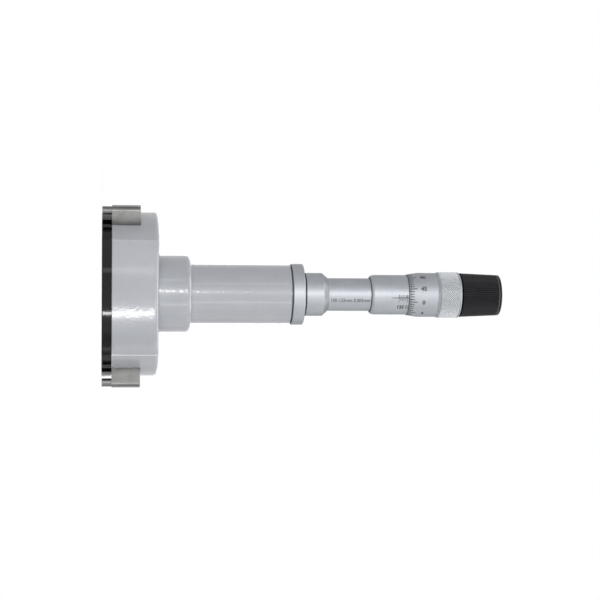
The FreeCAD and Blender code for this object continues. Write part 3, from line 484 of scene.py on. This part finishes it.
def ground_steel():
    """Ground flat steel: grinding marks along one way, smears, rubbed edges, and painted shade towards
    the axis.
    """
    s = Shader("ground_steel")
    dark = GROUND[0]
    marks = s.noise(1.0, detail=4.0, roughness=0.7, stretch=(0.15, 0.15, 4.0))
    stain = s.noise(0.13, detail=5.0, roughness=0.65)
    colour = s.mix(s.ramp(stain, *SPREAD), *GROUND)
    colour = s.mix(s.ramp(marks, 0.45, 0.8, end=0.4), colour, shade(dark, MARK_SHADE))
    # Painted shade: the slides turn darker towards the axis, inside these radii
    low, high = INWARD_SHADE_RADII
    wavering = s.plus(s.reach(), s.times(marks, INWARD_SHADE_WAVER * MM))
    shaded_inwards = s.ramp(wavering, low * MM, high * MM, start=0.8, end=0.0)
    colour = s.mix(shaded_inwards, colour, shade(dark, INWARD_SHADE_FACTOR))
    worn = s.worn(radius=0.2, size=0.9, patches=(0.35, 0.6))
    colour = s.mix(s.times(worn, GROUND_WEAR), colour, GROUND_WORN)
    return s.finish([
        ("Base Color", colour), ("Metallic", 1.0),
        ("Roughness", s.ramp(stain, *SPREAD, start=0.30, end=0.38)),
        ("Specular Tint", GROUND_TINT), ("Normal", s.bump(marks, depth=0.006, rounding=0.2)),
    ])


def cap_black():
    """Black moulded cap: fine mould grain, dust in the flutes, rubbed flute crests, a painted highlight
    round its end and painted shade at its joint with the thimble.
    """
    s = Shader("cap_black")
    cloud = s.noise(0.15, detail=4.0, roughness=0.6)
    grain = s.noise(6.0, detail=3.0, roughness=0.65)
    colour = s.mix(s.ramp(cloud, *SPREAD), *CAP)
    colour = s.mix(s.ramp(grain, 0.6, 0.85, end=0.4), colour, CAP_DUST)
    worn = s.worn(radius=0.12, size=0.8, patches=(0.4, 0.65))
    colour = s.mix(s.times(worn, CAP_WEAR), colour, CAP_WORN)
    # Painted highlight: a pale ring round the cap's end
    colour = s.mix(s.times(s.band(*CAP_RIM_HIGHLIGHT_BAND, soft=0.06), RIM_HIGHLIGHT_STRENGTH), colour, CAP_RIM_HIGHLIGHT)
    # Painted shade: a near-black, hardly glossy band at the joint with the thimble
    joint_shade = s.band(*CAP_JOINT_SHADE_BAND)
    colour = s.mix(joint_shade, colour, CAP_JOINT_SHADE)
    return s.finish([
        ("Base Color", colour), ("Roughness", s.ramp(cloud, *SPREAD, start=0.38, end=0.5)),
        ("Specular IOR Level", s.ramp(joint_shade, 0.0, 1.0, start=0.14, end=0.02)),
        ("Normal", s.bump(grain, depth=0.02, rounding=0.1)),
    ])


def ink(name, tones):
    """Paint filled into lines and figures, thin in places."""
    s = Shader(name)
    thin = s.noise(2.5, detail=4.0, roughness=0.65)
    return s.finish([
        ("Base Color", s.mix(s.ramp(thin, 0.35, 0.7), *tones)),
        ("Roughness", s.ramp(thin, *SPREAD, start=0.5, end=0.7)), ("Normal", s.bump(thin, depth=0.01)),
    ])


MATERIALS = {
    "head_paint": head_paint(),
    "cover_black": cover_black(),
    "satin_steel": turned_metal("satin_steel", STEEL, 0.46, shade_bands=PAINTED_SHADE_BANDS),
    "ground_steel": ground_steel(),
    "hard_pin": turned_metal("hard_pin", PIN, 0.33, line_depth=0.003, worn_colour=PIN_WORN),
    "inner_steel": turned_metal("inner_steel", INNER_STEEL, 0.26),
    "bronze": turned_metal("bronze", BRONZE, 0.3, worn_colour=BRONZE_WORN),
    "cap_black": cap_black(),
    "thimble_steel": turned_metal("thimble_steel", STEEL, 0.52, rounding=0.0, knurled=True),
    "line_ink": ink("line_ink", LINE_INK),
    "stem_ink": ink("stem_ink", STEM_INK),
}

SLOT_OF = {row["node"]: row["material_slot"] for row in frame["record"]["subparts"]}


def dress_nodes():
    """Gives each CAD node the material of its slot."""
    for name, node in NODES.items():
        node.data.materials.clear()
        node.data.materials.append(MATERIALS[SLOT_OF[name]])


# Pieces

def add_piece(name, points, faces, body, material):
    """A smooth mesh piece with the material given, parented to a body's empty."""
    data = bpy.data.meshes.new(name)
    data.from_pydata([Vector(point) * MM for point in points], [], faces)
    data.validate()
    data.materials.append(MATERIALS[material])
    data.polygons.foreach_set("use_smooth", [True] * len(data.polygons))
    piece = new_object(name, data)
    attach(piece, body)
    return piece


def sharpen(piece, limit):
    """Turns the faces outwards and keeps the edges sharp that bend by more than an angle."""
    made = bmesh.new()
    made.from_mesh(piece.data)
    bmesh.ops.recalc_face_normals(made, faces=made.faces)
    for edge in made.edges:
        edge.smooth = len(edge.link_faces) == 2 and edge.calc_face_angle(0.0) < math.radians(limit)
    made.to_mesh(piece.data)
    made.free()


def grip_radius(z):
    """Crest radius of the knurl, which climbs at its front and then runs level."""
    low, high = KNURL_CLIMB
    return THIMBLE_RADIUS + (KNURL_CREST - THIMBLE_RADIUS) * min(1.0, max(0.0, (z - low) / (high - low)))


class Turning:
    """Points and faces of a surface made of rings of corners round the axis."""

    def __init__(self):
        self.points, self.faces = [], []

    def add_point(self, angle, z, radius):
        """Adds a corner at an angle in radians, and gives its number."""
        self.points.append((radius * math.cos(angle), radius * math.sin(angle), z))
        return len(self.points) - 1

    def add_ring(self, radius, z, count, shift=0.0):
        """Adds a ring of corners, turned by a part of a step."""
        return [self.add_point(2 * math.pi * (step + shift) / count, z, radius) for step in range(count)]

    def join(self, lower, upper):
        """Faces between two rings that have the same number of corners."""
        count = len(upper)
        for step in range(count):
            far = (step + 1) % count
            self.faces.append((lower[step], lower[far], upper[far], upper[step]))

    def join_doubled(self, coarse, fine):
        """Faces between a ring and one with twice as many corners."""
        for step, corner in enumerate(coarse):
            far_corner = coarse[(step + 1) % len(coarse)]
            start, middle, end = fine[2 * step], fine[2 * step + 1], fine[(2 * step + 2) % len(fine)]
            self.faces.append((corner, middle, start))
            self.faces.append((far_corner, end, middle))
            self.faces.append((corner, far_corner, middle))

    def add_sections(self, sections):
        """Adds a ring for each (radius, height) of a section, and joins each to the next."""
        rings = [self.add_ring(radius, z, THIMBLE_STEPS) for radius, z in sections]
        for lower, upper in zip(rings, rings[1:]):
            self.join(lower, upper)
        return rings


def add_knurl(turning):
    """Adds diamonds with flat crests between valleys, and gives the valleys' rows of corners."""
    steps = KNURL_STEPS
    row_height = (KNURL_HIGH - KNURL_LOW) / KNURL_ROWS
    rows = []
    for row in range(KNURL_ROWS + 1):
        z = KNURL_LOW + row * row_height
        rows.append(turning.add_ring(grip_radius(z) - KNURL_DEPTH, z, steps, shift=0.5 * (row % 2)))
    for row in range(1, KNURL_ROWS):
        stagger = row % 2
        for step in range(steps):
            far = (step + 1) % steps
            beside = far if stagger else step
            around = (rows[row][step], rows[row - 1][beside], rows[row][far], rows[row + 1][beside])
            middle = 2 * math.pi * (step + 0.5 * stagger + 0.5) / steps
            crest = []
            for side, rise in ((-1, 0), (0, -1), (1, 0), (0, 1)):
                angle = middle + KNURL_FLAT * side * math.pi / steps
                z = KNURL_LOW + row * row_height + KNURL_FLAT * rise * row_height
                crest.append(turning.add_point(angle, z, grip_radius(z)))
            turning.faces.append(tuple(crest))
            for near in range(4):
                next_one = (near + 1) % 4
                turning.faces.append((around[near], around[next_one], crest[next_one], crest[near]))
    return rows


def make_thimble():
    """The thimble node's form with a cut knurl in its grip."""
    turning = Turning()
    rows = add_knurl(turning)
    front = turning.add_sections(THIMBLE_FRONT_SECTION)
    back = turning.add_sections(THIMBLE_BACK_SECTION)
    turning.join(back[-1], front[0])
    turning.join_doubled(rows[0], front[-1])
    turning.join_doubled(rows[-1], back[0])
    # The half diamonds along both ends of the knurl stay level with the valleys.
    for end, beside in ((rows[0], rows[1]), (rows[-1], rows[-2])):
        for step in range(KNURL_STEPS):
            turning.faces.append((end[step], beside[step], end[(step + 1) % KNURL_STEPS]))
    piece = add_piece("thimble_knurled", turning.points, turning.faces, "thimble", "thimble_steel")
    sharpen(piece, SHARP_ANGLE)
    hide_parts("thimble")


# Scales

def graduation(step, fifth, unit, half):
    """Which of three forms a line has, by its number in half units."""
    if step % (2 * FIGURE_UNITS) == 0:
        return fifth
    return half if step % 2 else unit


def taper_radius(z):
    """Outside radius of the thimble over its scale."""
    low_radius, low = TAPER_FRONT
    high_radius, high = TAPER_BACK
    return low_radius + (high_radius - low_radius) * (z - low) / (high - low)


class Marks:
    """Strips and figures laid on a turned surface, gathered into one piece."""

    def __init__(self, radius_at):
        self.radius_at = radius_at
        self.points, self.faces = [], []

    def place(self, angle, z):
        """Adds a point just proud of the surface, and gives its number."""
        radius = self.radius_at(z) + MARK_PROUD
        turn = math.radians(angle)
        self.points.append((radius * math.cos(turn), radius * math.sin(turn), z))
        return len(self.points) - 1

    def along(self, angle, z_low, z_high, width, parts):
        """A line along the axis, two faces wide."""
        half = math.degrees(0.5 * width / self.radius_at(z_low))
        rows = []
        for part in range(parts + 1):
            z = z_low + (z_high - z_low) * part / parts
            rows.append([self.place(angle + half * (side - 1), z) for side in range(3)])
        for low, high in zip(rows, rows[1:]):
            for side in range(2):
                self.faces.append((low[side], low[side + 1], high[side + 1], high[side]))

    def across(self, z, angle_low, angle_high, width, parts=6):
        """A line round the axis."""
        rows = []
        for part in range(parts + 1):
            angle = angle_low + (angle_high - angle_low) * part / parts
            rows.append([self.place(angle, z - width / 2), self.place(angle, z + width / 2)])
        for low, high in zip(rows, rows[1:]):
            self.faces.append((low[0], high[0], high[1], low[1]))

    def figures(self, text, angle, z, height, weight, wide):
        """Text centred at an angle and height, reading along the axis, its top towards smaller angles."""
        curve = bpy.data.curves.new("figures", "FONT")
        curve.body = text
        curve.size = 1.0
        curve.align_x = "CENTER"
        curve.offset = weight
        curve.resolution_u = 3
        holder = new_object("figures", curve)
        bpy.context.view_layer.update()
        flat = bpy.data.meshes.new_from_object(holder)
        cut = bmesh.new()
        cut.from_mesh(flat)
        upwards = Vector((0, 1, 0))
        for band in range(1, FIGURE_BANDS):
            whole = list(cut.verts) + list(cut.edges) + list(cut.faces)
            level = upwards * (FONT_HEIGHT * band / FIGURE_BANDS)
            bmesh.ops.bisect_plane(cut, geom=whole, plane_co=level, plane_no=upwards,
                                   dist=CUT_TOLERANCE)
        bmesh.ops.triangulate(cut, faces=cut.faces)
        base = len(self.points)
        scale = height / FONT_HEIGHT
        for vert in cut.verts:
            rise = (vert.co.y - FONT_HEIGHT / 2) * scale
            self.place(angle - math.degrees(rise / self.radius_at(z)), z + vert.co.x * scale * wide)
        cut.verts.index_update()
        for face in cut.faces:
            self.faces.append(tuple(base + vert.index for vert in face.verts))
        cut.free()
        bpy.data.meshes.remove(flat)
        bpy.data.objects.remove(holder)
        bpy.data.curves.remove(curve)

    def finish(self, name, body, material):
        """Makes the piece."""
        add_piece(name, self.points, self.faces, body, material)


def make_sleeve_scale():
    """Datum line, and graduations in half millimetres from 125 back to 100."""
    marks = Marks(lambda z: SLEEVE_RADIUS)
    datum_end = LARGEST_SIZE_Z + SCALE_LENGTH + DATUM_TAIL
    marks.along(SCALE_ANGLE, LARGEST_SIZE_Z - DATUM_LEAD, datum_end, DATUM_WIDTH, parts=60)
    for step in range(2 * SCALE_LENGTH + 1):
        low, high = graduation(step, FIFTH_REACH, UNIT_REACH, HALF_REACH)
        z = LARGEST_SIZE_Z + MARK_STEP * step
        marks.across(z, SCALE_ANGLE + low, SCALE_ANGLE + high, SLEEVE_LINE_WIDTH)
    for back in range(0, SCALE_LENGTH + 1, FIGURE_UNITS):
        z = min(LARGEST_SIZE_Z + back + SLEEVE_FIGURE_SHIFT, LAST_FIGURE_Z)
        size = str(LARGEST_SIZE - back)
        marks.figures(size, SLEEVE_FIGURE_ANGLE, z, height=2.3, weight=0.045, wide=0.92)
    marks.finish("sleeve_scale", "frame", "line_ink")


def make_thimble_scale():
    """Graduations in half units round the thimble's taper, a painted shadow line round its front edge,
    and figures.
    """
    lines = Marks(taper_radius)
    for step in range(2 * THIMBLE_UNITS):
        length, width = graduation(step, FIVE_LINE, UNIT_LINE, HALF_LINE)
        angle = THIMBLE_ZERO + 180.0 / THIMBLE_UNITS * step
        lines.along(angle, THIMBLE_EDGE + LINE_START, THIMBLE_EDGE + length, width, parts=4)
    # Painted shadow: a dark ink ring along the thimble's front edge
    lines.across(THIMBLE_EDGE + EDGE_SHADOW_SHIFT, 0.0, 360.0, EDGE_SHADOW_WIDTH, parts=THIMBLE_STEPS)
    figures = Marks(lambda z: THIMBLE_RADIUS)
    for number in range(0, THIMBLE_UNITS, FIGURE_UNITS):
        angle = THIMBLE_ZERO + 360.0 / THIMBLE_UNITS * number
        figures.figures(str(number), angle, THIMBLE_FIGURE_Z, height=2.5, weight=0.035, wide=1.05)
    lines.finish("thimble_lines", "thimble", "line_ink")
    figures.finish("thimble_figures", "thimble", "line_ink")


def make_stem_text():
    """The measuring range and the reading's step, written along the stem."""
    marks = Marks(lambda z: STEM_RADIUS)
    marks.figures("100-125mm 0.005mm", STEM_TEXT_ANGLE, STEM_TEXT_Z,
                  height=2.25, weight=0.012, wide=0.87)
    marks.finish("stem_range", "frame", "stem_ink")


# Stage

def make_floor():
    """Pale floor that takes the object's shadow near it and runs out to white.

    It is clear from below and to gloss and soft light, which see the white world past it. So the front
    face is lit as if the tool lay on its side, as it does in the picture.
    """
    s = Shader("floor")
    grain = s.add("TexNoise", [("Vector", s.coords), ("Scale", FLOOR_GRAIN), ("Detail", 4.0)])
    ground = s.add("BsdfDiffuse", [("Color", s.mix(grain.outputs["Fac"], *FLOOR_GREY))]).outputs[0]
    white = s.add("Emission", [("Color", WHITE), ("Strength", 1.0)]).outputs[0]
    far = s.add("MapRange", [("Value", s.reach()), ("From Min", SHADE_FULL), ("From Max", SHADE_NONE)],
                interpolation_type="SMOOTHSTEP").outputs[0]
    top = s.add("MixShader", [(0, far), (1, ground), (2, white)]).outputs[0]
    path = s.add("LightPath").outputs
    looked_at = s.larger(path["Is Camera Ray"], path["Is Transmission Ray"])
    from_above = s.minus(1.0, s.add("NewGeometry").outputs["Backfacing"])
    clear = s.add("BsdfTransparent").outputs[0]
    both = s.add("MixShader", [(0, s.times(looked_at, from_above)), (1, clear), (2, top)]).outputs[0]
    s.feed(s.output.inputs[0], both)
    made = bmesh.new()
    bmesh.ops.create_grid(made, x_segments=FLOOR_PARTS, y_segments=FLOOR_PARTS, size=FLOOR_SIZE / 2)
    data = bpy.data.meshes.new("floor")
    made.to_mesh(data)
    made.free()
    data.materials.append(s.material)
    floor = new_object("floor", data)
    floor.location.z = -FLOOR_DROP


def make_world():
    """White for what the camera and gloss see, a soft even light for the rest."""
    world = bpy.data.worlds.new("studio")
    bpy.context.scene.world = world
    studio = Tree(world)
    path = studio.add("LightPath").outputs
    seen = studio.larger(path["Is Camera Ray"], path["Is Glossy Ray"])
    seen = studio.larger(seen, path["Is Transmission Ray"])
    level = studio.ramp(seen, 0.0, 1.0, start=WORLD_LEVEL, end=1.0)
    sky = studio.add("Background", [("Color", WHITE), ("Strength", level)])
    studio.add("OutputWorld", [(0, sky.outputs[0])])


def new_lamp(name, shape, size, power):
    """A soft box that the camera doesn't see."""
    data = bpy.data.lights.new(name, "AREA")
    data.shape = shape
    data.size = size
    data.energy = power
    lamp = new_object(name, data)
    lamp.visible_camera = False
    return lamp


def add_lamp(name, angle, distance, height, width, length, power):
    """A soft box beside the axis, turned to face it."""
    lamp = new_lamp(name, "RECTANGLE", width, power)
    lamp.data.size_y = length
    out = direction(CAMERA_ANGLE + angle)
    axis = Vector((0, 0, 1))
    turn = Matrix((axis.cross(out), axis, out)).transposed().to_4x4()
    lamp.matrix_world = Matrix.Translation(out * distance + axis * height) @ turn


def add_top_lamp(name, height, size, power):
    """A soft box over the object that lights the floor."""
    new_lamp(name, "SQUARE", size, power).location = (0, 0, height)


make_camera()
dress_nodes()
make_thimble()
make_sleeve_scale()
make_thimble_scale()
make_stem_text()
make_floor()
make_world()
for lamp_row in LAMPS:
    add_lamp(**lamp_row)
add_top_lamp(**TOP_LAMP)

bpy.context.scene.view_settings.view_transform = "Standard"
